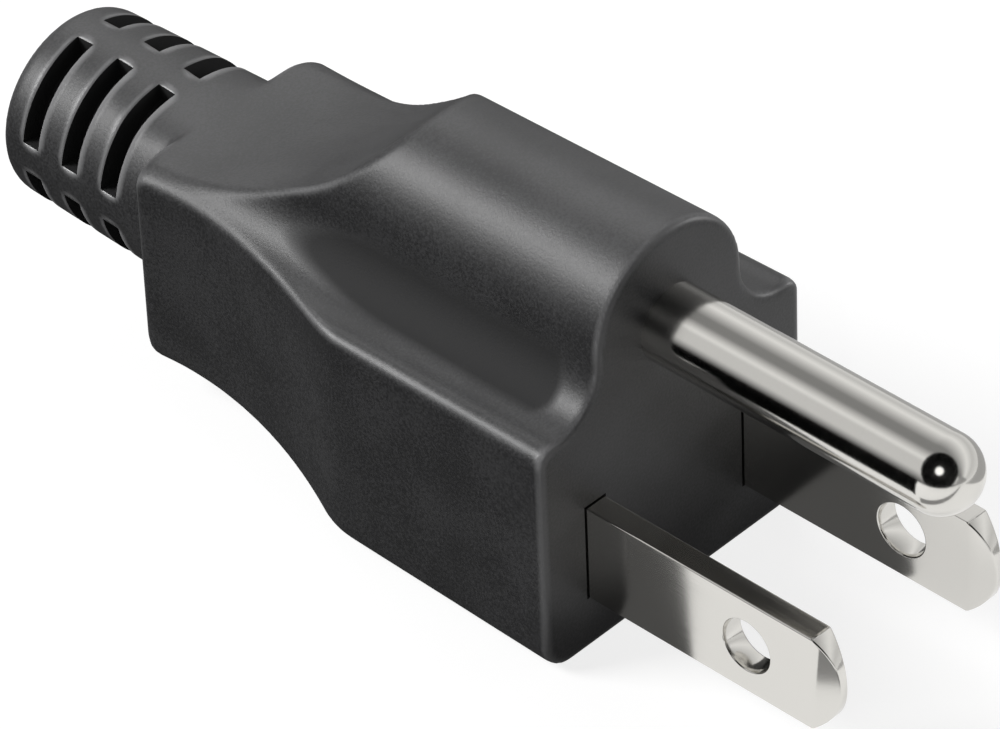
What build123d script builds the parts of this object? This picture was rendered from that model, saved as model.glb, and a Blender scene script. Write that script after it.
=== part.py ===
from build123d import *
import os
from math import cos, isclose, radians, sin, sqrt, tan

# Neutral ground bonding plug: a moulded three prong plug with no cord. Inside, a jumper ties
# the neutral blade to the ground pin, and the line blade is left unconnected.
# Millimetres. X to the right and Z up, seen from the prong side with the ground pin on top.
# The face that meets the receptacle is Y = 0, the prongs point along -Y, the tail along +Y.
# Z = 0 is the centre line of the two blades.

# Outer moulding, block and barrel
body_width = 21.0
body_length = 34.6
bottom_z = -6.9
shoulder_z = 8.85
barrel_z = 12.35
barrel_radius = 5.85
barrel_root_radius = 3.3
shoulder_radius = 1.1
body_draft = 1.1
bottom_radius = 2.0
face_edge_chamfer = 0.35
rear_chamfer = 0.7

# Finger scoops, each the side of a large round cutter
scoop_start_y = 16.8
side_scoop_y = 31.0
waist_width = 14.6
top_scoop_radius = 21.2
top_scoop_y = 33.9
top_scoop_z = 9.3
bottom_scoop_y = 31.0
bottom_scoop_z = -4.4

# Strain relief tail, moulded in one with the block
tail_z = 3.75
tail_root_radius = 6.3
tail_end_radius = 5.9
tail_end_y = 47.3
tail_tip_chamfer = 0.6
ring_count = 3
ring_pitch = 3.3
first_ring_y = 38.0
slot_width = 1.2
slot_depth = 1.7
rib_angle = 20.0
ribs_around = 4

# Prongs
blade_width = 6.35
blade_thickness = 1.52
blade_spacing = 12.7
blade_length = 18.0
blade_tip_sagitta = 1.7
blade_bevel_length = 1.6
blade_tip_thickness = 0.5
blade_hole_diameter = 3.4
blade_hole_y = 11.6
pin_diameter = 4.76
pin_z = 11.89
pin_length = 21.6
shank_depth = 0.1
recess_gap = 0.25
recess_depth = 0.8

# Inner carrier that holds the three prongs while the outer moulding is shot round them
skin = 1.9
carrier_thickness = 4.6
carrier_corner_radius = 1.5
lobe_wall = 1.4
collar_wall = 1.0
collar_length = 1.8
pin_neck_diameter = 4.0
pin_head_depth = 1.8

# Crimps at the rear of the prongs
neck_length = 2.2
neck_width = 3.0
sheet_thickness = 0.8
crimp_length = 5.0
pin_barrel_diameter = 3.9
wing_height = 3.4
seam_width = 0.5
seam_depth = 0.45

# Jumper
conductor_diameter = 1.9
insulation_diameter = 3.1
strip_gap = 0.8
bend_radius = 1.6


def scoop_radius(run, depth):
    # radius of a round cutter that reaches this depth over this run
    return (run**2 + depth**2) / (2 * depth)


carrier_front = skin
carrier_rear = carrier_front + carrier_thickness
collar_rear = carrier_rear + collar_length
crimp_front = collar_rear + neck_length
crimp_rear = crimp_front + crimp_length
blade_x = blade_spacing / 2
crimp_radius = conductor_diameter / 2 + sheet_thickness
# the sheet is flush with the blade's outer side, so the crimp's axis lies nearer the middle
crimp_x = blade_x + blade_thickness / 2 - crimp_radius
# how far the block's walls have drawn in where the side and bottom scoops start
draft_in = scoop_start_y * tan(radians(body_draft))
side_scoop_radius = scoop_radius(
    side_scoop_y - scoop_start_y, (body_width - waist_width) / 2 - draft_in
)
bottom_scoop_radius = scoop_radius(
    bottom_scoop_y - scoop_start_y, bottom_scoop_z - bottom_z - draft_in
)
tail_axis = Axis((0, 0, tail_z), (0, 1, 0))


def section(y):
    # sketch plane across the plug, X to the right and Z up, whose normal points along -Y:
    # a negative extrusion from it runs towards the tail
    return Plane.XZ.offset(-y)


def blade(label, side, connected):
    # stamped blade on the given side, -1 for neutral and +1 for line
    outer_x = side * (blade_x + blade_thickness / 2)
    root = blade_length - blade_tip_sagitta
    half = blade_width / 2
    with BuildPart() as piece:
        with BuildSketch(Plane.YZ.offset(side * blade_x - blade_thickness / 2)):
            with BuildLine():
                Polyline((-root, -half), (collar_rear, -half), (collar_rear, half), (-root, half))
                ThreePointArc((-root, half), (-blade_length, 0), (-root, -half))
            make_face()
            with Locations((-blade_hole_y, 0)):
                Circle(blade_hole_diameter / 2, mode=Mode.SUBTRACT)
        extrude(amount=blade_thickness)
        # both flats are coined down to a thin edge at the tip
        bevel_start = -blade_length + blade_bevel_length
        with BuildSketch(Plane(origin=(side * blade_x, 0, -half))):
            with BuildLine():
                Polyline(
                    (-blade_tip_thickness / 2, -blade_length),
                    (blade_tip_thickness / 2, -blade_length),
                    (blade_thickness / 2, bevel_start),
                    (blade_thickness / 2, collar_rear),
                    (-blade_thickness / 2, collar_rear),
                    (-blade_thickness / 2, bevel_start),
                    close=True,
                )
            make_face()
        extrude(amount=blade_width, mode=Mode.INTERSECT)
        # neck of thinner sheet, flush with the outer side
        with BuildSketch(section(collar_rear)):
            with Locations((outer_x - side * sheet_thickness / 2, 0)):
                Rectangle(sheet_thickness, neck_width)
        extrude(amount=-neck_length)
        # crimp barrel: closed round the jumper, or still open as it was stamped
        with BuildSketch(section(crimp_front)):
            with Locations((side * crimp_x, 0)):
                Circle(crimp_radius)
            with Locations((side * (crimp_x - wing_height / 2), 0)):
                if not connected:
                    Rectangle(wing_height, 2 * crimp_radius)
                    Rectangle(wing_height, conductor_diameter, mode=Mode.SUBTRACT)
            with Locations((side * crimp_x, 0)):
                Circle(conductor_diameter / 2, mode=Mode.SUBTRACT)
            with Locations((side * (crimp_x - crimp_radius), 0)):
                if connected:
                    Rectangle(2 * seam_depth, seam_width, mode=Mode.SUBTRACT)
        extrude(amount=-crimp_length)
    piece.part.label = label
    return piece.part


neutral_blade = blade("neutral_blade", -1, connected=True)
line_blade = blade("line_blade", 1, connected=False)

# Ground pin, turned: round nose, shank, a neck and a head that the plastic is moulded round, and
# a barrel for the jumper
with BuildPart() as ground_pin:
    with BuildSketch(Plane.YZ):
        nose = pin_diameter / 2
        with BuildLine():
            RadiusArc((-pin_length, pin_z), (-pin_length + nose, pin_z + nose), nose)
            Polyline(
                (-pin_length + nose, pin_z + nose),
                (shank_depth, pin_z + nose),
                (shank_depth, pin_z + pin_neck_diameter / 2),
                (carrier_rear - pin_head_depth, pin_z + pin_neck_diameter / 2),
                (carrier_rear - pin_head_depth, pin_z + nose),
                (collar_rear, pin_z + nose),
                (collar_rear, pin_z + pin_barrel_diameter / 2),
                (crimp_rear, pin_z + pin_barrel_diameter / 2),
                (crimp_rear, pin_z + conductor_diameter / 2),
                (crimp_front, pin_z + conductor_diameter / 2),
                (crimp_front, pin_z),
                (-pin_length, pin_z),
            )
        make_face()
    revolve(axis=Axis((0, 0, pin_z), (0, 1, 0)))
ground_pin.part.label = "ground_pin"

# Jumper: out of the neutral crimp, straight across, and back into the pin's barrel
start = Vector(-crimp_x, 0, 0)
finish = Vector(0, 0, pin_z)
across = (finish - start).normalized()
run_y = crimp_rear + strip_gap + bend_radius


def at_y(point, y):
    return Vector(point.X, y, point.Z)


with BuildPart() as jumper_conductor:
    with BuildLine() as route:
        FilletPolyline(
            at_y(start, crimp_front),
            at_y(start, run_y),
            at_y(finish, run_y),
            at_y(finish, crimp_front),
            radius=bend_radius,
        )
    with BuildSketch(section(crimp_front)):
        with Locations((-crimp_x, 0)):
            Circle(conductor_diameter / 2)
    sweep(path=route.wire())
jumper_conductor.part.label = "jumper_conductor"

# insulation, left on the straight run between the two bends
with BuildPart() as jumper_insulation:
    with BuildSketch(Plane(origin=at_y(start, run_y) + across * bend_radius, z_dir=across)):
        Circle(insulation_diameter / 2)
        Circle(conductor_diameter / 2, mode=Mode.SUBTRACT)
    extrude(amount=(finish - start).length - 2 * bend_radius)
jumper_insulation.part.label = "jumper_insulation"

# Prong carrier: a plate with a lobe for the pin and a collar round each prong
with BuildPart() as prong_carrier:
    with BuildSketch(section(carrier_front)):
        plate_top = shoulder_z - skin
        plate_bottom = bottom_z + skin
        with Locations((0, (plate_top + plate_bottom) / 2)):
            RectangleRounded(body_width - 2 * skin, plate_top - plate_bottom, carrier_corner_radius)
        with Locations((0, pin_z)):
            Circle(pin_diameter / 2 + lobe_wall)
        with Locations((0, (pin_z + plate_top) / 2)):
            Rectangle(pin_diameter + 2 * lobe_wall, pin_z - plate_top)
    extrude(amount=-carrier_thickness)
    with BuildSketch(section(carrier_rear)):
        with Locations((-blade_x, 0), (blade_x, 0)):
            Rectangle(blade_thickness + 2 * collar_wall, blade_width + 2 * collar_wall)
        with Locations((0, pin_z)):
            Circle(pin_diameter / 2 + collar_wall)
    extrude(amount=-collar_length)
    for prong in (neutral_blade, line_blade, ground_pin.part):
        add(prong, mode=Mode.SUBTRACT)
prong_carrier.part.label = "prong_carrier"

inner_pieces = (
    neutral_blade,
    line_blade,
    ground_pin.part,
    jumper_conductor.part,
    jumper_insulation.part,
    prong_carrier.part,
)

# Form of the waist: finger scoops at the sides and underneath, and the eased rear rim. In front it
# is larger than the block, so that only the scoops mark the block.
with BuildPart() as waist_form:
    scoop_x = waist_width / 2 + side_scoop_radius
    front_y = side_scoop_y - sqrt(side_scoop_radius**2 - (scoop_x - body_width) ** 2)
    rear_x = scoop_x - sqrt(side_scoop_radius**2 - (body_length - side_scoop_y) ** 2)
    with BuildSketch():
        with BuildLine():
            Polyline((0, -body_width), (body_width, -body_width), (body_width, front_y))
            ThreePointArc(
                (body_width, front_y), (waist_width / 2, side_scoop_y), (rear_x, body_length)
            )
            Line((rear_x, body_length), (0, body_length))
            mirror(about=Plane.YZ)
        make_face()
    extrude(amount=2 * body_width, both=True)
    with BuildSketch(Plane.YZ.offset(-body_width)):
        with Locations((bottom_scoop_y, bottom_scoop_z - bottom_scoop_radius)):
            Circle(bottom_scoop_radius)
    extrude(amount=2 * body_width, mode=Mode.SUBTRACT)
    rear_face = waist_form.faces().sort_by(Axis.Y)[-1]
    chamfer(rear_face.edges().sort_by(Axis.Z)[:-1], rear_chamfer)

# Outer moulding: block and barrel with the scoops, and the slotted tail
with BuildPart() as overmould_body:
    with BuildSketch(section(0)) as face_outline:
        root_x = sqrt(barrel_radius**2 - (barrel_z - shoulder_z) ** 2)
        half_width = body_width / 2
        # widest fillet at the barrel's root that ends before the shoulder's rounded corner
        flat_end = half_width - shoulder_radius
        widest_root = (flat_end**2 - root_x**2) / (2 * (barrel_radius + barrel_z - shoulder_z))
        with BuildLine():
            Polyline(
                (0, bottom_z), (half_width, bottom_z), (half_width, shoulder_z), (root_x, shoulder_z)
            )
            ThreePointArc(
                (root_x, shoulder_z), (barrel_radius, barrel_z), (0, barrel_z + barrel_radius)
            )
            mirror(about=Plane.YZ)
        make_face()
        fillet(face_outline.vertices().group_by(Axis.Y)[0], bottom_radius)
        roots = face_outline.vertices().filter_by(lambda v: isclose(abs(v.X), root_x))
        fillet(roots, min(barrel_root_radius, 0.95 * widest_root))
        corners = face_outline.vertices().filter_by(lambda v: isclose(abs(v.X), half_width))
        fillet(corners.group_by(Axis.Y)[-1], shoulder_radius)
    extrude(amount=-body_length)
    walls = overmould_body.faces().filter_by(Axis.Y, reverse=True)
    draft(walls, neutral_plane=section(0), angle=-body_draft)
    add(waist_form.part, mode=Mode.INTERSECT)
    # tail
    with BuildSketch(Plane.YZ) as tail_profile:
        tail_front_y = body_length - tail_root_radius
        with BuildLine():
            Polyline(
                (tail_front_y, tail_z),
                (tail_front_y, tail_z + tail_root_radius),
                (body_length, tail_z + tail_root_radius),
                (tail_end_y, tail_z + tail_end_radius),
                (tail_end_y, tail_z),
                close=True,
            )
        make_face()
        tip = tail_profile.vertices().sort_by_distance((tail_end_y, tail_z + tail_end_radius))[0]
        chamfer(tip, tail_tip_chamfer)
    revolve(axis=tail_axis)
    # top scoop, which also trims the tail where it meets the block
    with BuildSketch(Plane.YZ.offset(-half_width)):
        with Locations((top_scoop_y, top_scoop_z + top_scoop_radius)):
            Circle(top_scoop_radius)
    extrude(amount=body_width, mode=Mode.SUBTRACT)
    # eased edge round the face
    chamfer(overmould_body.edges().group_by(Axis.Y)[0], face_edge_chamfer)
    # rings of slots in the tail, with a rib left between neighbours
    for rib in range(ribs_around):
        turn = radians(360 / ribs_around * rib + rib_angle / 2)
        radial = Plane(tail_axis.position, x_dir=(0, 1, 0), z_dir=(cos(turn), 0, -sin(turn)))
        with BuildSketch(radial):
            with Locations((first_ring_y + ring_pitch * (ring_count - 1) / 2, tail_root_radius)):
                with GridLocations(ring_pitch, 0, ring_count, 1):
                    Rectangle(slot_width, 2 * slot_depth)
        revolve(axis=tail_axis, revolution_arc=360 / ribs_around - rib_angle, mode=Mode.SUBTRACT)
    # shallow recess round each blade, then the room that the inner pieces take
    with BuildSketch(section(0)):
        with Locations((-blade_x, 0), (blade_x, 0)):
            Rectangle(blade_thickness + 2 * recess_gap, blade_width + 2 * recess_gap)
    extrude(amount=-recess_depth, mode=Mode.SUBTRACT)
    for inner in inner_pieces:
        add(inner, mode=Mode.SUBTRACT)
overmould_body.part.label = "overmould_body"

os.makedirs("parts", exist_ok=True)
for piece in (*inner_pieces, overmould_body.part):
    export_step(piece, f"parts/{piece.label}.step")
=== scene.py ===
from math import atan2, cos, pi, radians, sin, sqrt, tan

import bmesh
import bpy
import numpy as np
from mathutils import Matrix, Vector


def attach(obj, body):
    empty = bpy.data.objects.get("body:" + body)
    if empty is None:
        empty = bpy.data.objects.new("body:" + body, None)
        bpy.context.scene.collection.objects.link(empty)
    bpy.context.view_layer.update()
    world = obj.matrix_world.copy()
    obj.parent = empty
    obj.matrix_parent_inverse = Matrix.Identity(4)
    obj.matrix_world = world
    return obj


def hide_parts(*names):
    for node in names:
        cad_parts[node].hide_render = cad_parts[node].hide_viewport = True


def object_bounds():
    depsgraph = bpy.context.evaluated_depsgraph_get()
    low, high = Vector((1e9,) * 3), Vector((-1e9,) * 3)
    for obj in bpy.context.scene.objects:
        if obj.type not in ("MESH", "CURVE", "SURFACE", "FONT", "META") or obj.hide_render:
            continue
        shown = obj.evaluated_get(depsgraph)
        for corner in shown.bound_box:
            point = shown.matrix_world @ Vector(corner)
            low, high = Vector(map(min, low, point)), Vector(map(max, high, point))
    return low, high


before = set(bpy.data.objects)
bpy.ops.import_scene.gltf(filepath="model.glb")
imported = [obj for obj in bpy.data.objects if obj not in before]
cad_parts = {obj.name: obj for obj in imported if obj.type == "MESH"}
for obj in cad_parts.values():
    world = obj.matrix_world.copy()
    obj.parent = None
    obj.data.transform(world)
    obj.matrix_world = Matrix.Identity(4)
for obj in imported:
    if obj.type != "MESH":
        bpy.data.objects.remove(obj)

import openvdb
from mathutils import Matrix, Vector

# Ground bonding plug with two blades and a round pin. The values below are in millimetres and
# degrees, and meshes are in metres
mm = 0.001
cadLow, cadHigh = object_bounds()
print("frame loaded:", len(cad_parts), "nodes")


def toLinear(hexColour):
    # sRGB hex to the linear RGBA that shaders take
    parts = [int(hexColour[i:i + 2], 16) / 255 for i in (1, 3, 5)]
    return [p / 12.92 if p <= 0.04045 else ((p + 0.055) / 1.055) ** 2.4 for p in parts] + [1.0]


def addNode(tree, kind, inputs=None, **settings):
    # one node: its settings, then its inputs, each a plain value or another node's output
    node = tree.nodes.new(kind)
    for name, value in settings.items():
        setattr(node, name, value)
    for name, value in (inputs or {}).items():
        if isinstance(value, bpy.types.NodeSocket):
            tree.links.new(value, node.inputs[name])
        else:
            node.inputs[name].default_value = value
    return node


def arithmetic(tree, operation, *values):
    node = addNode(tree, "ShaderNodeMath", dict(enumerate(values)), operation=operation)
    return node.outputs["Value"]


def mixed(tree, share, first, second, kind="FLOAT"):
    # a value between the two, or a colour where the kind is RGBA
    node = addNode(tree, "ShaderNodeMix", {
        "Factor": share, "A": first, "B": second,
    }, data_type=kind)
    return node.outputs["Result"]


def variedGloss(tree, pattern, values):
    # roughness that follows the pattern, a little under and over its usual value
    under, over = values["glossSpread"]
    node = addNode(tree, "ShaderNodeMapRange", {
        "Value": pattern,
        "To Min": values["roughness"] + under, "To Max": values["roughness"] + over,
    })
    return node.outputs["Result"]


def fineRelief(tree, pattern, height):
    node = addNode(tree, "ShaderNodeBump", {
        "Height": pattern, "Strength": 1.0, "Distance": height * mm,
    })
    return node.outputs["Normal"]


def newMaterial(name, **values):
    # Principled material with plain values, and the tree to add its patterns to
    material = bpy.data.materials.new(name)
    material.use_nodes = True
    shader = material.node_tree.nodes["Principled BSDF"]
    for socket, value in values.items():
        shader.inputs[socket.replace("_", " ")].default_value = value
    return material, material.node_tree, shader


# Corners closer than this are one, and faces nearer to flat than this are joined
merge = {"distance": 0.001, "flatAngle": 0.5}


def mergedCopy(nodeName, pieceName):
    # closed copy of a CAD node's mesh, with flat regions as single faces
    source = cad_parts[nodeName]
    mesh = bmesh.new()
    mesh.from_mesh(source.data)
    bmesh.ops.remove_doubles(mesh, verts=mesh.verts, dist=merge["distance"] * mm)
    flat = radians(merge["flatAngle"])
    bmesh.ops.dissolve_limit(mesh, angle_limit=flat, verts=mesh.verts, edges=mesh.edges)
    data = bpy.data.meshes.new(pieceName)
    mesh.to_mesh(data)
    mesh.free()
    piece = bpy.data.objects.new(pieceName, data)
    bpy.context.scene.collection.objects.link(piece)
    return piece


def place(piece, nodeName, material):
    # the piece stands for its CAD node, takes its finish and moves with the body
    piece.data.materials.clear()
    piece.data.materials.append(material)
    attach(piece, "root")
    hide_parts(nodeName)


# Moulded flexible PVC, black with a fine matte grain from the mould: soft wide highlights. Handling
# rubs its edges to a low gloss, and a pale painted highlight lies on them. Its hollows stay dull
# and hold painted shade
pvc = {
    "colour": "#222223",
    "speckColour": "#363637",
    # painted shade for hollows and for the walls of slots and recesses
    "hollowShadeColour": "#101011",
    # pale painted highlight along the edges
    "edgeHighlightColour": "#7c7c7d",
    "refraction": 1.52,
    "roughness": 0.46,
    "glossSpread": (-0.05, 0.07),
    "rubbedRoughness": 0.34,
    "creaseRoughness": 0.8,
    "grain": 0.17,
    "grainDetail": 2.0,
    "grainFineness": 0.6,
    "grainHeight": 0.012,
    "cloud": 5.0,
    "cloudDetail": 3.0,
    "cloudShare": 0.35,
    "specksFrom": 0.42,
    "specksTo": 0.6,
}


def mouldedPvc():
    material, tree, shader = newMaterial("mouldedBlackPvc", IOR=pvc["refraction"])
    where = addNode(tree, "ShaderNodeTexCoord").outputs["Object"]
    grain = addNode(tree, "ShaderNodeTexNoise", {
        "Vector": where, "Scale": 1 / (pvc["grain"] * mm),
        "Detail": pvc["grainDetail"], "Roughness": pvc["grainFineness"],
    }).outputs["Fac"]
    cloud = addNode(tree, "ShaderNodeTexNoise", {
        "Vector": where, "Scale": 1 / (pvc["cloud"] * mm), "Detail": pvc["cloudDetail"],
    }).outputs["Fac"]
    rubbedHighlight = addNode(tree, "ShaderNodeAttribute", attribute_name="rubbedHighlight").outputs["Fac"]
    dullShade = addNode(tree, "ShaderNodeAttribute", attribute_name="dullShade").outputs["Fac"]
    specks = addNode(tree, "ShaderNodeMapRange", {
        "Value": mixed(tree, pvc["cloudShare"], grain, cloud),
        "From Min": pvc["specksFrom"], "From Max": pvc["specksTo"],
    }).outputs["Result"]
    plain, speck = toLinear(pvc["colour"]), toLinear(pvc["speckColour"])
    tone = mixed(tree, specks, plain, speck, "RGBA")
    # painted shade in hollows and on faces left by cutters
    tone = mixed(tree, dullShade, tone, toLinear(pvc["hollowShadeColour"]), "RGBA")
    # pale painted highlight on the edges
    tone = mixed(tree, rubbedHighlight, tone, toLinear(pvc["edgeHighlightColour"]), "RGBA")
    gloss = mixed(tree, dullShade, variedGloss(tree, grain, pvc), pvc["creaseRoughness"])
    gloss = mixed(tree, rubbedHighlight, gloss, pvc["rubbedRoughness"])
    tree.links.new(tone, shader.inputs["Base Color"])
    tree.links.new(gloss, shader.inputs["Roughness"])
    tree.links.new(fineRelief(tree, grain, pvc["grainHeight"]), shader.inputs["Normal"])
    return material


# Bright nickel on brass. The sheet was rolled along the blade and the pin was turned, so fine lines
# run along the one and round the other: they stretch each highlight a little
nickel = {
    "colour": "#d9d7d2",
    "roughness": 0.13,
    "glossSpread": (-0.04, 0.05),
    "lineWidth": 0.10,
    "lineLength": 6.0,
    "lineDetail": 2.0,
    "lineHeight": 0.0002,
}


def brightNickel(name, across, along):
    material, tree, shader = newMaterial(
        name, Base_Color=toLinear(nickel["colour"]), Metallic=1.0, Roughness=nickel["roughness"]
    )
    where = addNode(tree, "ShaderNodeTexCoord").outputs["Object"]
    stretched = addNode(tree, "ShaderNodeMapping", {
        "Vector": where, "Scale": (1 / (across * mm), 1 / (along * mm), 1 / (across * mm)),
    })
    lines = addNode(tree, "ShaderNodeTexNoise", {
        "Vector": stretched.outputs["Vector"], "Scale": 1.0, "Detail": nickel["lineDetail"],
    }).outputs["Fac"]
    tree.links.new(variedGloss(tree, lines, nickel), shader.inputs["Roughness"])
    tree.links.new(fineRelief(tree, lines, nickel["lineHeight"]), shader.inputs["Normal"])
    return material


# Hard PVC, injection moulded: grey and slightly glossy. Extruded green PVC insulation: satin. Both
# have faint flow marks
hardPvc = {"colour": "#6f7072", "light": "#7c7d7f", "roughness": 0.38, "flow": 3.0}
greenPvc = {"colour": "#1f7a3d", "light": "#2a8a48", "roughness": 0.34, "flow": 1.2}
flowMarks = {"refraction": 1.5, "detail": 4.0, "distortion": 1.5, "height": 0.01}


def flowedPlastic(name, values):
    material, tree, shader = newMaterial(
        name, IOR=flowMarks["refraction"], Roughness=values["roughness"]
    )
    where = addNode(tree, "ShaderNodeTexCoord").outputs["Object"]
    flow = addNode(tree, "ShaderNodeTexNoise", {
        "Vector": where, "Scale": 1 / (values["flow"] * mm),
        "Detail": flowMarks["detail"], "Distortion": flowMarks["distortion"],
    }).outputs["Fac"]
    tone = mixed(tree, flow, toLinear(values["colour"]), toLinear(values["light"]), "RGBA")
    tree.links.new(tone, shader.inputs["Base Color"])
    tree.links.new(fineRelief(tree, flow, flowMarks["height"]), shader.inputs["Normal"])
    return material


# Drawn copper: pink orange, with fine marks from the die
copper = {
    "colour": "#d08a63",
    "roughness": 0.22,
    "glossSpread": (-0.06, 0.1),
    "dieLine": 0.06,
    "dieDetail": 2.0,
}


def drawnCopper():
    material, tree, shader = newMaterial(
        "drawnCopper", Base_Color=toLinear(copper["colour"]), Metallic=1.0,
        Roughness=copper["roughness"],
    )
    where = addNode(tree, "ShaderNodeTexCoord").outputs["Object"]
    lines = addNode(tree, "ShaderNodeTexNoise", {
        "Vector": where, "Scale": 1 / (copper["dieLine"] * mm), "Detail": copper["dieDetail"],
    }).outputs["Fac"]
    tree.links.new(variedGloss(tree, lines, copper), shader.inputs["Roughness"])
    return material


# Moulding. Its form is a distance field: block and barrel, scoops cut by large round cutters, and
# the tail. Each edge is rounded by its own amount as the forms are joined. The band of the field
# that is kept, and the margin round the plug, are counted in voxels
moulding = {
    "width": 21.0,
    "length": 34.6,
    "bottom": -6.9,
    "shoulder": 8.85,
    "barrelCentre": 12.35,
    "barrelRadius": 5.85,
    "rootRadius": 3.3,
    "shoulderRadius": 1.1,
    "bottomRadius": 2.0,
    "draft": 1.1,
    "scoopStart": 16.8,
    "sideScoopAt": 31.0,
    "waistWidth": 14.6,
    "topScoopRadius": 21.2,
    "topScoopAt": 33.9,
    "topScoopFloor": 9.3,
    "topScoopRunOut": 3.0,
    "bottomScoopAt": 31.0,
    "bottomScoopFloor": -4.4,
    "tailCentre": 3.75,
    "tailRoot": 6.3,
    "tailEnd": 5.9,
    "tailEndAt": 47.3,
    "faceEdge": 0.5,
    "scoopEdge": 0.5,
    "waistEdge": 1.6,
    "rearEdge": 1.1,
    "tailJoin": 0.5,
    "tailBlend": 1.6,
    "tipEdge": 1.0,
    "voxel": 0.22,
    "band": 3,
    "margin": 4,
}

# Slots: rings round the tail, each of a few sectors with ribs between them. Their rims are cut
# sharp, and "edge" is how far wear has rounded them
slots = {
    "rings": 3,
    "firstAt": 38.0,
    "pitch": 3.3,
    "width": 1.3,
    "floorRadius": 4.6,
    "reach": 7.4,
    "around": 4,
    "ribAngle": 20.0,
    "steps": 40,
    "edge": 0.2,
}

# Narrow gap round each blade, where it enters the face
recess = {"width": 1.72, "height": 6.55, "depth": 0.7, "bladeAt": 6.35}

# Wear, painted highlight and painted shade. "Reach" is how far round a spot its surroundings are
# looked at. An edge is rubbed glossy and gets a painted highlight as their solid falls short of a
# half, from the first amount to the second. A hollow is dull and painted in shade as their share of
# solid goes from the first to the second. A face that leans more than formAngle from the form was
# left by a cutter
wear = {
    "edgeReach": 0.44,
    "edgeFrom": 0.07,
    "edgeTo": 0.18,
    "creaseReach": 2.9,
    "creaseFrom": 0.51,
    "creaseTo": 0.575,
    "formAngle": 55.0,
}


def arcPoints(centre, radius, start, end, count=24):
    angles = np.radians(np.linspace(start, end, count))
    return [(centre[0] + radius * cos(a), centre[1] + radius * sin(a)) for a in angles]


def faceOutline(m):
    # closed outline of the face: rounded block, barrel on top, and a fillet at the barrel's root
    half = m["width"] / 2
    drop = m["barrelCentre"] - m["shoulder"]
    reach = m["barrelRadius"] + m["rootRadius"]
    rootX = sqrt(reach**2 - (m["rootRadius"] - drop) ** 2)
    rootZ = m["shoulder"] + m["rootRadius"]
    lean = np.degrees(atan2(rootZ - m["barrelCentre"], rootX))
    bottomX, bottomZ = half - m["bottomRadius"], m["bottom"] + m["bottomRadius"]
    shoulderX, shoulderZ = half - m["shoulderRadius"], m["shoulder"] - m["shoulderRadius"]
    right = arcPoints((bottomX, bottomZ), m["bottomRadius"], -90, 0)
    right += arcPoints((shoulderX, shoulderZ), m["shoulderRadius"], 0, 90)
    right += arcPoints((rootX, rootZ), m["rootRadius"], 270, 180 + lean)
    right += arcPoints((0, m["barrelCentre"]), m["barrelRadius"], lean, 90)
    return right + [(-x, z) for x, z in reversed(right)]


def outlineDistance(points, x, z):
    # signed distance in the plane, negative inside
    px, pz = np.meshgrid(x, z, indexing="ij")
    nearest = np.full(px.shape, 1e9)
    inside = np.zeros(px.shape, bool)
    for (ax, az), (bx, bz) in zip(points, points[1:] + points[:1]):
        dx, dz = bx - ax, bz - az
        length = dx * dx + dz * dz
        if length < 1e-12:  # a point that is there twice
            continue
        along = np.clip(((px - ax) * dx + (pz - az) * dz) / length, 0, 1)
        nearest = np.minimum(nearest, np.hypot(px - ax - along * dx, pz - az - along * dz))
        if az != bz:
            crosses = (az > pz) != (bz > pz)
            inside ^= crosses & (px < dx * (pz - az) / dz + ax)
    return np.where(inside, -nearest, nearest)


def roundMax(a, b, k):
    # what two forms share, with the edge between them rounded over about k
    h = np.maximum(k - np.abs(a - b), 0) / k
    return np.maximum(a, b) + h * h * k / 4


def roundMin(a, b, k):
    # two forms joined, with the corner between them filled over about k
    return -roundMax(-a, -b, k)


def cutterRadius(run, depth):
    # round cutter that goes this deep, this far from where it enters
    return (run**2 + depth**2) / (2 * depth)


def mouldingField(m, x, y, z):
    outline = outlineDistance(faceOutline(m), x, z).astype(np.float32)
    x, y, z = x[:, None, None], y[None, :, None], z[None, None, :]
    slope = tan(radians(m["draft"]))
    drawnIn = m["scoopStart"] * slope
    block = outline[:, None, :] + y * slope
    # scoops at the sides and underneath
    sideRadius = cutterRadius(
        m["sideScoopAt"] - m["scoopStart"], (m["width"] - m["waistWidth"]) / 2 - drawnIn
    )
    outwards = np.abs(x) - m["waistWidth"] / 2 - sideRadius
    sides = sideRadius - np.hypot(outwards, y - m["sideScoopAt"])
    underRadius = cutterRadius(
        m["bottomScoopAt"] - m["scoopStart"], m["bottomScoopFloor"] - m["bottom"] - drawnIn
    )
    under = underRadius - np.hypot(y - m["bottomScoopAt"], z - m["bottomScoopFloor"] + underRadius)
    waist = roundMax(sides, under, m["waistEdge"])
    body = roundMax(block, waist, m["scoopEdge"])
    body = roundMax(body, y - m["length"], m["rearEdge"])
    # tail, a slow taper with a rounded end
    radius = np.hypot(x, z - m["tailCentre"])
    taper = (m["tailRoot"] - m["tailEnd"]) / (m["tailEndAt"] - m["length"])
    tail = radius - m["tailRoot"] + taper * (y - m["length"])
    tail = roundMax(tail, y - m["tailEndAt"], m["tipEdge"])
    tail = np.maximum(tail, m["length"] - m["tailRoot"] - y)
    solid = roundMin(body, tail, m["tailJoin"])
    # the top scoop has a clear edge on the block and runs out softly on the tail
    topCentre = m["topScoopFloor"] + m["topScoopRadius"]
    top = m["topScoopRadius"] - np.hypot(y - m["topScoopAt"], z - topCentre)
    share = np.clip((y - m["topScoopAt"]) / m["topScoopRunOut"], 0, 1)
    solid = roundMax(solid, top, m["scoopEdge"] + share * (m["tailBlend"] - m["scoopEdge"]))
    solid = roundMax(solid, -y, m["faceEdge"])
    return solid


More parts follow.
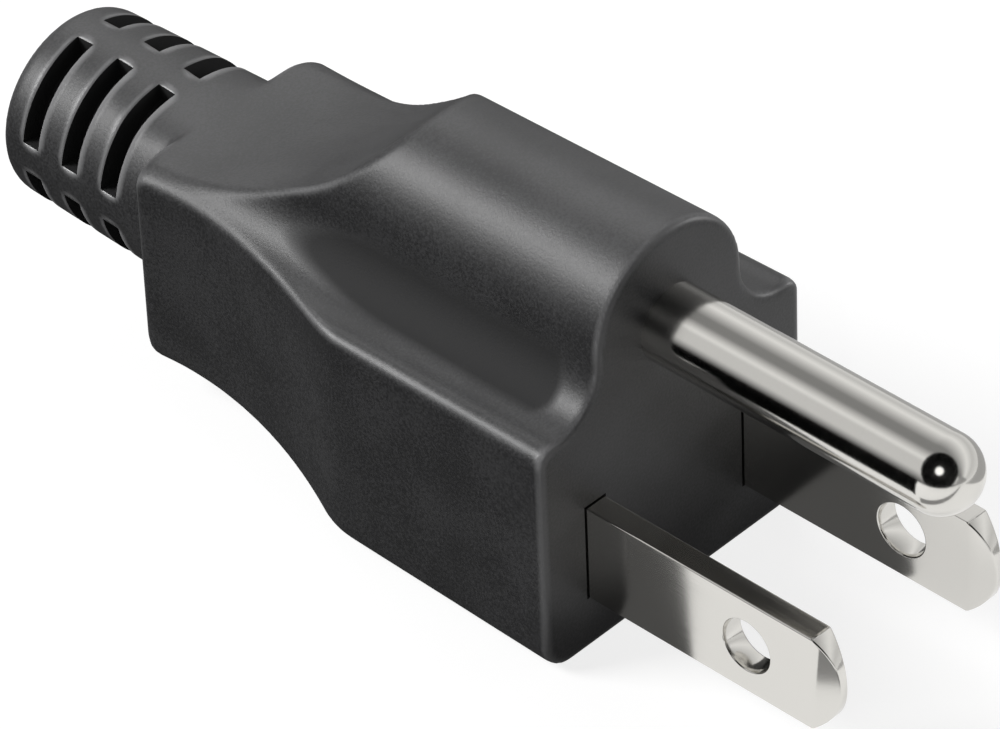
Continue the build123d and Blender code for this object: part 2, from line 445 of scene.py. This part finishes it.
def solidShare(field, reach):
    # share of solid in a cube round each voxel, whose half width is given in voxels
    total = np.clip(0.5 - field / moulding["voxel"], 0, 1)
    span = 2 * reach + 1
    for axis in range(3):
        total = np.pad(total, [(reach + 1, reach) if a == axis else (0, 0) for a in range(3)])
        total = np.moveaxis(np.cumsum(total, axis=axis), axis, 0)
        total = np.moveaxis(total[span:] - total[:-span], 0, axis) / span
    return total


def sampled(values, points):
    # values between the voxels, blended from the eight round each point, which stays in the grid
    points = np.clip(points, 1, np.array(values.shape) - 2.001)
    base = np.floor(points).astype(int)
    part = points - base
    total = np.zeros(len(points))
    for corner in np.ndindex(2, 2, 2):
        weight = np.prod(np.where(corner, part, 1 - part), axis=1)
        total += weight * values[tuple((base + corner).T)]
    return total


def formNormals(field, points):
    # direction in which the distance grows fastest, which is straight out of the form
    steps = [sampled(field, points + axis) - sampled(field, points - axis) for axis in np.eye(3)]
    slope = np.stack(steps, axis=1)
    return slope / np.maximum(np.linalg.norm(slope, axis=1, keepdims=True), 1e-6)


def formOf(piece, low, step, shape):
    # distance field of a closed mesh of quads, in millimetres, on the moulding's own voxels
    data = piece.data
    points = np.array([v.co / mm for v in data.vertices], np.float32)
    quads = [tuple(f.vertices) for f in data.polygons if len(f.vertices) == 4]
    grid = openvdb.FloatGrid.createLevelSetFromPolygons(
        ((points - low) / step).astype(np.float32), quads=np.array(quads, np.uint32),
    )
    form = np.zeros(shape, np.float32)
    grid.copyToArray(form)
    return form * step


def makeMoulding(m):
    # solid moulding, the field that it comes from, and that field's lowest corner
    step = m["voxel"]
    band, margin = m["band"] * step, m["margin"] * step
    low = np.array(cadLow) / mm - margin
    high = np.array(cadHigh) / mm + margin
    low[1] = -margin
    x, y, z = (np.arange(a, b, step, dtype=np.float32) for a, b in zip(low, high))
    field = np.clip(mouldingField(m, x, y, z), -band, band).astype(np.float32)
    grid = openvdb.FloatGrid(band)
    grid.copyFromArray(field)
    points, quads = grid.convertToQuads(isovalue=0)
    data = bpy.data.meshes.new("moulding")
    # the corner that a quad starts from sets which way it is split
    quads = np.roll(quads, 1, axis=1)
    data.from_pydata(((points * step + low) * mm).tolist(), [], quads.tolist())
    piece = bpy.data.objects.new("moulding", data)
    bpy.context.scene.collection.objects.link(piece)
    return piece, field, low


def finishMoulding(piece, field, worn, low):
    # gloss from wear and a pale painted highlight on edges, dullness and painted shade in hollows,
    # and normals straight from the form, so that highlights run true
    step = moulding["voxel"]
    data = piece.data
    points = np.empty(3 * len(data.vertices), np.float32)
    data.vertices.foreach_get("co", points)
    points = (points.reshape(-1, 3) / mm - low) / step
    corners = np.empty(len(data.loops), np.int32)
    data.loops.foreach_get("vertex_index", corners)
    flat = np.empty(3 * len(data.polygons), np.float32)
    data.polygons.foreach_get("normal", flat)
    sides = np.empty(len(data.polygons), np.int32)
    data.polygons.foreach_get("loop_total", sides)
    flat = np.repeat(flat.reshape(-1, 3), sides, axis=0)
    # faces that a cutter left keep their own flat normals, and are as dull as a hollow and fully
    # painted in shade
    agreement = (formNormals(field, points)[corners] * flat).sum(axis=1)
    onForm = agreement > cos(radians(wear["formAngle"]))
    # a flat surface has half its surroundings solid, an edge less, and a hollow more
    missing = 0.5 - sampled(solidShare(worn, round(wear["edgeReach"] / step)), points)
    filled = sampled(solidShare(worn, round(wear["creaseReach"] / step)), points)
    rubbedHighlight = np.interp(missing, (wear["edgeFrom"], wear["edgeTo"]), (0, 1))
    dullShade = np.interp(filled, (wear["creaseFrom"], wear["creaseTo"]), (0, 1))
    # a painted highlight on edges, and painted shade in hollows and on every face that a cutter
    # left
    for name, values, whenCut in (("rubbedHighlight", rubbedHighlight, 0), ("dullShade", dullShade, 1)):
        attribute = data.attributes.new(name, "FLOAT", "CORNER")
        values = np.where(onForm, values[corners], whenCut)
        attribute.data.foreach_set("value", values.astype(np.float32))
    smooth = formNormals(worn, points)[corners]
    data.shade_smooth()
    data.normals_split_custom_set(np.where(onForm[:, None], smooth, flat).tolist())


def cutAway(piece, cutter):
    # exact cut with a closed cutter, which is used up
    modifier = piece.modifiers.new("room", "BOOLEAN")
    modifier.solver = "MANIFOLD"
    modifier.operation = "DIFFERENCE"
    modifier.object = cutter
    graph = bpy.context.evaluated_depsgraph_get()
    piece.data = bpy.data.meshes.new_from_object(piece.evaluated_get(graph))
    piece.modifiers.clear()
    bpy.data.objects.remove(cutter)


def recessCutter(side):
    mesh = bmesh.new()
    size = (recess["width"] * mm, 2 * recess["depth"] * mm, recess["height"] * mm)
    spot = Matrix.Translation((side * recess["bladeAt"] * mm, 0, 0))
    bmesh.ops.create_cube(mesh, size=1, matrix=spot @ Matrix.Diagonal((*size, 1)))
    data = bpy.data.meshes.new("recess")
    mesh.to_mesh(data)
    mesh.free()
    cutter = bpy.data.objects.new("recess", data)
    bpy.context.scene.collection.objects.link(cutter)
    return cutter


def slotCutter(material):
    # ring sectors of square section, set round the tail and repeated along it
    tree = bpy.data.node_groups.new("slotRings", "GeometryNodeTree")
    values = {
        "Rings": ("NodeSocketInt", slots["rings"]),
        "Around": ("NodeSocketInt", slots["around"]),
        "Pitch": ("NodeSocketFloat", slots["pitch"] * mm),
        "Width": ("NodeSocketFloat", slots["width"] * mm),
        "Floor Radius": ("NodeSocketFloat", slots["floorRadius"] * mm),
        "Reach": ("NodeSocketFloat", slots["reach"] * mm),
        "Rib Angle": ("NodeSocketFloat", radians(slots["ribAngle"])),
        "First": ("NodeSocketVector", (0, slots["firstAt"] * mm, moulding["tailCentre"] * mm)),
    }
    for name, (kind, value) in values.items():
        tree.interface.new_socket(name, in_out="INPUT", socket_type=kind).default_value = value
    tree.interface.new_socket("Geometry", in_out="OUTPUT", socket_type="NodeSocketGeometry")
    given = addNode(tree, "NodeGroupInput").outputs
    # one sector, as a rectangle swept along its middle line
    share = arithmetic(tree, "DIVIDE", 2 * pi, given["Around"])
    sweep = arithmetic(tree, "SUBTRACT", share, given["Rib Angle"])
    height = arithmetic(tree, "SUBTRACT", given["Reach"], given["Floor Radius"])
    middle = arithmetic(tree, "MULTIPLY_ADD", height, 0.5, given["Floor Radius"])
    start = arithmetic(tree, "MULTIPLY", given["Rib Angle"], 0.5)
    arc = addNode(tree, "GeometryNodeCurveArc", {
        "Resolution": slots["steps"], "Radius": middle, "Start Angle": start, "Sweep Angle": sweep,
    }, mode="RADIUS")
    section = addNode(tree, "GeometryNodeCurvePrimitiveQuadrilateral", {
        "Width": height, "Height": given["Width"],
    }, mode="RECTANGLE")
    bar = addNode(tree, "GeometryNodeCurveToMesh", {
        "Curve": arc.outputs["Curve"], "Profile Curve": section.outputs["Curve"], "Fill Caps": True,
    })
    # the sectors of a ring, and the rings
    spokes = addNode(tree, "GeometryNodeMeshLine", {"Count": given["Around"], "Offset": (0, 0, 0)})
    index = addNode(tree, "GeometryNodeInputIndex").outputs["Index"]
    turn = arithmetic(tree, "MULTIPLY", index, share)
    upright = addNode(tree, "ShaderNodeCombineXYZ", {"X": pi / 2, "Y": turn})
    ring = addNode(tree, "GeometryNodeInstanceOnPoints", {
        "Points": spokes.outputs["Mesh"], "Instance": bar.outputs["Mesh"],
        "Rotation": upright.outputs["Vector"],
    })
    step = addNode(tree, "ShaderNodeCombineXYZ", {"Y": given["Pitch"]})
    row = addNode(tree, "GeometryNodeMeshLine", {
        "Count": given["Rings"], "Start Location": given["First"], "Offset": step.outputs["Vector"],
    })
    rings = addNode(tree, "GeometryNodeInstanceOnPoints", {
        "Points": row.outputs["Mesh"], "Instance": ring.outputs["Instances"],
    })
    real = addNode(tree, "GeometryNodeRealizeInstances", {"Geometry": rings.outputs["Instances"]})
    coloured = addNode(tree, "GeometryNodeSetMaterial", {
        "Geometry": real.outputs["Geometry"], "Material": material,
    })
    addNode(tree, "NodeGroupOutput", {"Geometry": coloured.outputs["Geometry"]})
    cutter = bpy.data.objects.new("slotRings", bpy.data.meshes.new("slotRings"))
    bpy.context.scene.collection.objects.link(cutter)
    cutter.modifiers.new("rings", "NODES").node_group = tree
    graph = bpy.context.evaluated_depsgraph_get()
    data = bpy.data.meshes.new_from_object(cutter.evaluated_get(graph))
    cutter.modifiers.clear()
    cutter.data = data
    mesh = bmesh.new()
    mesh.from_mesh(data)
    bmesh.ops.remove_doubles(mesh, verts=mesh.verts, dist=merge["distance"] * mm)
    bmesh.ops.recalc_face_normals(mesh, faces=mesh.faces)
    mesh.to_mesh(data)
    mesh.free()
    return cutter


softPvc = mouldedPvc()
shell, form, formLow = makeMoulding(moulding)
print("moulding:", len(shell.data.polygons), "faces")
slotRings = slotCutter(softPvc)
slotForm = formOf(slotRings, formLow, moulding["voxel"], form.shape)
wornForm = roundMax(form, -slotForm, slots["edge"])
cutAway(shell, slotRings)
for side in (-1, 1):
    cutAway(shell, recessCutter(side))
for name in [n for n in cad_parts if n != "overmould_body"]:
    cutAway(shell, mergedCopy(name, "cutter"))
shell.data.validate()
finishMoulding(shell, form, wornForm, formLow)
place(shell, "overmould_body", softPvc)
print("moulding with room for its pieces:", len(shell.data.polygons), "faces")


# Prongs: the plating leaves the blades' stamped edges slightly round, and the long line where the
# tip is coined thinner stays crisp
prongEdge = {
    "width": 0.09,
    "segments": 3,
    "fromAngle": 25.0,
    "coinedAngle": 10.0,
    "coinedLength": 3.0,
}


def easedBlade(nodeName, material):
    blade = mergedCopy(nodeName, nodeName + "_plated")
    blade.data.shade_smooth()
    mesh = bmesh.new()
    mesh.from_mesh(blade.data)
    for edge in mesh.edges:
        turn = np.degrees(edge.calc_face_angle(0))
        long = edge.calc_length() > prongEdge["coinedLength"] * mm
        edge.smooth = not (long and prongEdge["coinedAngle"] < turn < prongEdge["fromAngle"])
    mesh.to_mesh(blade.data)
    mesh.free()
    bevel = blade.modifiers.new("eased", "BEVEL")
    bevel.width = prongEdge["width"] * mm
    bevel.segments = prongEdge["segments"]
    bevel.limit_method = "ANGLE"
    bevel.angle_limit = radians(prongEdge["fromAngle"])
    bevel.use_clamp_overlap = False
    flats = blade.modifiers.new("trueFlats", "WEIGHTED_NORMAL")
    flats.keep_sharp = True
    graph = bpy.context.evaluated_depsgraph_get()
    blade.data = bpy.data.meshes.new_from_object(blade.evaluated_get(graph))
    blade.modifiers.clear()
    place(blade, nodeName, material)


rolledNickel = brightNickel("rolledNickel", nickel["lineWidth"], nickel["lineLength"])
turnedNickel = brightNickel("turnedNickel", nickel["lineLength"], nickel["lineWidth"])
easedBlade("neutral_blade", rolledNickel)
easedBlade("line_blade", rolledNickel)

# The pin was turned, so its normals are those of a true cylinder and a half round nose, apart from
# the end faces, whose own normals have more than this share along the pin
turned = {"z": 11.89, "noseAt": -19.22, "endFace": 0.7}


def turnedPin(material):
    pin = mergedCopy("ground_pin", "ground_pin_plated")
    centre = Vector((0, turned["noseAt"], turned["z"])) * mm
    normals = []
    for face in pin.data.polygons:
        for corner in face.vertices:
            out = pin.data.vertices[corner].co - centre
            if out.y > 0:
                out.y = 0
            endFace = face.center.y > centre.y and abs(face.normal.y) > turned["endFace"]
            inner = out.dot(face.normal) < 0
            normals.append(face.normal if endFace or inner else out.normalized())
    pin.data.shade_smooth()
    pin.data.normals_split_custom_set([tuple(n) for n in normals])
    place(pin, "ground_pin", material)


turnedPin(turnedNickel)
print("prongs done")

# Inner pieces keep their CAD meshes
inside = {
    "prong_carrier": flowedPlastic("hardMouldedPvc", hardPvc),
    "jumper_insulation": flowedPlastic("extrudedGreenPvc", greenPvc),
    "jumper_conductor": drawnCopper(),
}
for nodeName, material in inside.items():
    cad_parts[nodeName].data.materials.clear()
    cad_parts[nodeName].data.materials.append(material)
print("inner pieces done")

# Floor and sky. The floor is white to the eye and to metal, with the plug's faint shadow on it.
# The sky is white to the eye and dimmer in metal. The light that they throw on the plug is weak
studio = {
    "white": "#ffffff",
    "bounce": "#8c8c8c",
    "floorRoughness": 0.9,
    "floorSize": 3000.0,
    "floorGlow": 0.8,
    "skyStrength": 0.06,
    "skyInMetal": 0.35,
}


def flatPiece(name, corners, material):
    # one flat polygon of the stage
    data = bpy.data.meshes.new(name)
    data.from_pydata([Vector(c) * mm for c in corners], [], [range(len(corners))])
    piece = bpy.data.objects.new(name, data)
    bpy.context.scene.collection.objects.link(piece)
    data.materials.append(material)
    return piece


def onlyReflected(piece):
    piece.visible_camera = piece.visible_diffuse = piece.visible_shadow = False


def glow(tree, colour, strength=1.0):
    node = addNode(tree, "ShaderNodeEmission", {"Color": colour, "Strength": strength})
    tree.links.new(node.outputs["Emission"], tree.nodes["Material Output"].inputs["Surface"])


def glowing(name, colour, strength=1.0):
    material, tree, _ = newMaterial(name)
    glow(tree, toLinear(colour), strength)
    return material


def rays(tree):
    # 1 where the camera looks straight at the surface, and 1 where it sees it in metal or glass
    path = addNode(tree, "ShaderNodeLightPath").outputs
    bounced = arithmetic(tree, "MAXIMUM", path["Is Glossy Ray"], path["Is Transmission Ray"])
    return path["Is Camera Ray"], bounced


def whiteFloor():
    material, tree, shader = newMaterial(
        "paleFloor", Base_Color=toLinear(studio["bounce"]), Roughness=studio["floorRoughness"],
        Emission_Color=toLinear(studio["white"]),
    )
    seen = arithmetic(tree, "MAXIMUM", *rays(tree))
    strength = arithmetic(tree, "MULTIPLY", seen, studio["floorGlow"])
    tree.links.new(strength, shader.inputs["Emission Strength"])
    return material


floorZ = cadLow.z / mm
half = studio["floorSize"] / 2
floorCorners = ((-half, -half), (half, -half), (half, half), (-half, half))
floor = flatPiece("floor", [(x, y, floorZ) for x, y in floorCorners], whiteFloor())

# Cards just above the floor that only reflections see. A dark one behind the prongs shades the
# blades towards the plug, a black one to the left draws the streak along the pin, a pale one tones
# the floor on the right, and a narrow one shades the near blade's coined tip
cards = {
    "floorCard": {
        "tone": "#545454",
        "lift": 0.1,
        "corners": [
            (-24, 2), (-24, 9), (-9, -6), (-5, -2.5), (2, -9.5), (12, -4), (400, 400), (-24, 400),
        ],
    },
    "sideCard": {
        "tone": "#000000",
        "lift": 0.05,
        "corners": [(-24, -8), (-24, 900), (-900, 900), (-900, 300), (-100, 20)],
    },
    "rightCard": {
        "tone": "#b4b4b4",
        "lift": 0.05,
        "corners": [(30, -200), (900, -200), (900, 900), (30, 900)],
    },
    "coinedCard": {
        "tone": "#8f8f8f",
        "lift": 0.05,
        "corners": [(-24, -300), (-15, -300), (-15, -14.4), (-24, -13.5)],
    },
}
for name, card in cards.items():
    corners = [(x, y, floorZ + card["lift"]) for x, y in card["corners"]]
    onlyReflected(flatPiece(name, corners, glowing(name, card["tone"])))

# A dark disc near the camera, with a small light before it, for the pin's nose
disc = {
    "towards": (-0.62, -0.40, 0.67),
    "away": 380,
    "radius": 430,
    "tone": "#000000",
    "dotRadius": 70,
    "dotAhead": 10,
    "dotTone": "#ffffff",
    "dotStrength": 1.5,
    "sides": 48,
}


def roundCard(name, radius, away, material):
    # disc that faces the pin's nose
    towards = Vector(disc["towards"]).normalized()
    sideways = towards.cross(Vector((0, 0, 1))).normalized()
    upwards = sideways.cross(towards)
    centre = Vector((0, turned["noseAt"], turned["z"])) + towards * away
    turns = [2 * pi * i / disc["sides"] for i in range(disc["sides"])]
    corners = [centre + radius * (cos(t) * sideways + sin(t) * upwards) for t in turns]
    onlyReflected(flatPiece(name, corners, material))


dark = glowing("noseCard", disc["tone"])
smallLight = glowing("smallLight", disc["dotTone"], disc["dotStrength"])
roundCard("noseCard", disc["radius"], disc["away"], dark)
roundCard("noseDot", disc["dotRadius"], disc["away"] - disc["dotAhead"], smallLight)

# A long vault of soft light over the plug. Its greys stand at angles round its axis, from the left
# horizon over the top to the right, and blend into each other: each draws a band along the pin
vault = {
    "radius": 620.0,
    "from": -2500.0,
    "to": 1500.0,
    "step": 3,
    "tones": {
        -90: "#303030", -78: "#b0b0b0", -68: "#e0e0e0", -42: "#e0e0e0", -33: "#ffffff",
        -8: "#909090", 12: "#909090", 51: "#ffffff", 72: "#d8d8d8", 105: "#c0c0c0",
    },
}


def softVault(v):
    first, last = min(v["tones"]), max(v["tones"])
    material, tree, _ = newMaterial("vaultLight")
    where = addNode(tree, "ShaderNodeTexCoord").outputs["Object"]
    parts = addNode(tree, "ShaderNodeSeparateXYZ", {"Vector": where}).outputs
    angle = arithmetic(tree, "ARCTAN2", parts["X"], parts["Z"])
    share = addNode(tree, "ShaderNodeMapRange", {
        "Value": angle, "From Min": radians(first), "From Max": radians(last),
    })
    ramp = addNode(tree, "ShaderNodeValToRGB", {"Fac": share.outputs["Result"]})
    for at, tone in v["tones"].items():
        stop = ramp.color_ramp.elements.new((at - first) / (last - first))
        stop.color = toLinear(tone)
    glow(tree, ramp.outputs["Color"])
    data = bpy.data.meshes.new("vault")
    turns = [radians(a) for a in range(first, last + 1, v["step"])]
    rim = [(v["radius"] * sin(t), v["radius"] * cos(t)) for t in turns]
    corners = [Vector((x, y, z)) * mm for y in (v["from"], v["to"]) for x, z in rim]
    count = len(rim)
    data.from_pydata(corners, [], [(i, i + 1, count + i + 1, count + i) for i in range(count - 1)])
    data.materials.append(material)
    piece = bpy.data.objects.new("vault", data)
    bpy.context.scene.collection.objects.link(piece)
    onlyReflected(piece)


softVault(vault)

world = bpy.data.worlds.new("softSky")
world.use_nodes = True
bpy.context.scene.world = world
direct, bounced = rays(world.node_tree)
dimmed = addNode(world.node_tree, "ShaderNodeMapRange", {
    "Value": bounced, "To Min": studio["skyStrength"], "To Max": studio["skyInMetal"],
})
strength = addNode(world.node_tree, "ShaderNodeMapRange", {
    "Value": direct, "To Min": dimmed.outputs["Result"], "To Max": 1.0,
})
sky = world.node_tree.nodes["Background"].inputs
sky["Color"].default_value = toLinear(studio["white"])
world.node_tree.links.new(strength.outputs["Result"], sky["Strength"])

# Soft boxes: direction from the plug, distance, width and height, and power. They light the
# moulding and the floor. The bright metal is lit by the cards, the vault, the floor and the sky
lamps = {
    "key": {"towards": (-0.58, 0.54, 0.61), "away": 500, "size": (200, 200), "power": 2.4},
    "overhead": {"towards": (0.37, 0.54, 0.76), "away": 520, "size": (300, 300), "power": 0.75},
    "front": {"towards": (1.2, -0.7, 0.2), "away": 260, "size": (120, 120), "power": 0.18},
    "rim": {"towards": (-0.6, -0.45, 0.66), "away": 450, "size": (90, 90), "power": 0.1},
}
lampAim = (0, 12, 4)
dullPieces = bpy.data.collections.new("dullPieces")
for piece in (shell, floor):
    dullPieces.objects.link(piece)
aim = Vector(lampAim) * mm
for name, lamp in lamps.items():
    light = bpy.data.lights.new(name, "AREA")
    light.shape = "RECTANGLE"
    light.size, light.size_y = (v * mm for v in lamp["size"])
    light.energy = lamp["power"]
    holder = bpy.data.objects.new(name, light)
    holder.location = aim + Vector(lamp["towards"]).normalized() * lamp["away"] * mm
    holder.rotation_euler = (aim - holder.location).to_track_quat("-Z", "Y").to_euler()
    holder.light_linking.receiver_collection = dullPieces
    bpy.context.scene.collection.objects.link(holder)
print("stage and lamps done")

# Camera, matched to the photograph's view. The clip distance is in metres
view = {
    "azimuth": -45.083,
    "elevation": 39.14,
    "roll": -2.444,
    "target": (-3.172, 10.0, 5.483),
    "distance": 400.0,
    "lens": 261.64,
    "sensor": 36.0,
    "clipFrom": 0.01,
}
turn, rise, tilt = (radians(view[k]) for k in ("azimuth", "elevation", "roll"))
back = Vector((sin(turn) * cos(rise), -cos(turn) * cos(rise), sin(rise)))
right = (-back).cross(Vector((0, 0, 1))).normalized()
up = right.cross(-back)
tiltedRight = cos(tilt) * right + sin(tilt) * up
tiltedUp = cos(tilt) * up - sin(tilt) * right
spot = (Vector(view["target"]) + back * view["distance"]) * mm
facing = Matrix((tiltedRight, tiltedUp, back)).transposed().to_4x4()
camera = bpy.data.objects.new("camera", bpy.data.cameras.new("camera"))
camera.data.lens = view["lens"]
camera.data.sensor_width = view["sensor"]
camera.data.clip_start = view["clipFrom"]
camera.matrix_world = Matrix.Translation(spot) @ facing
bpy.context.scene.collection.objects.link(camera)
bpy.context.scene.camera = camera
bpy.context.scene.view_settings.view_transform = "Standard"
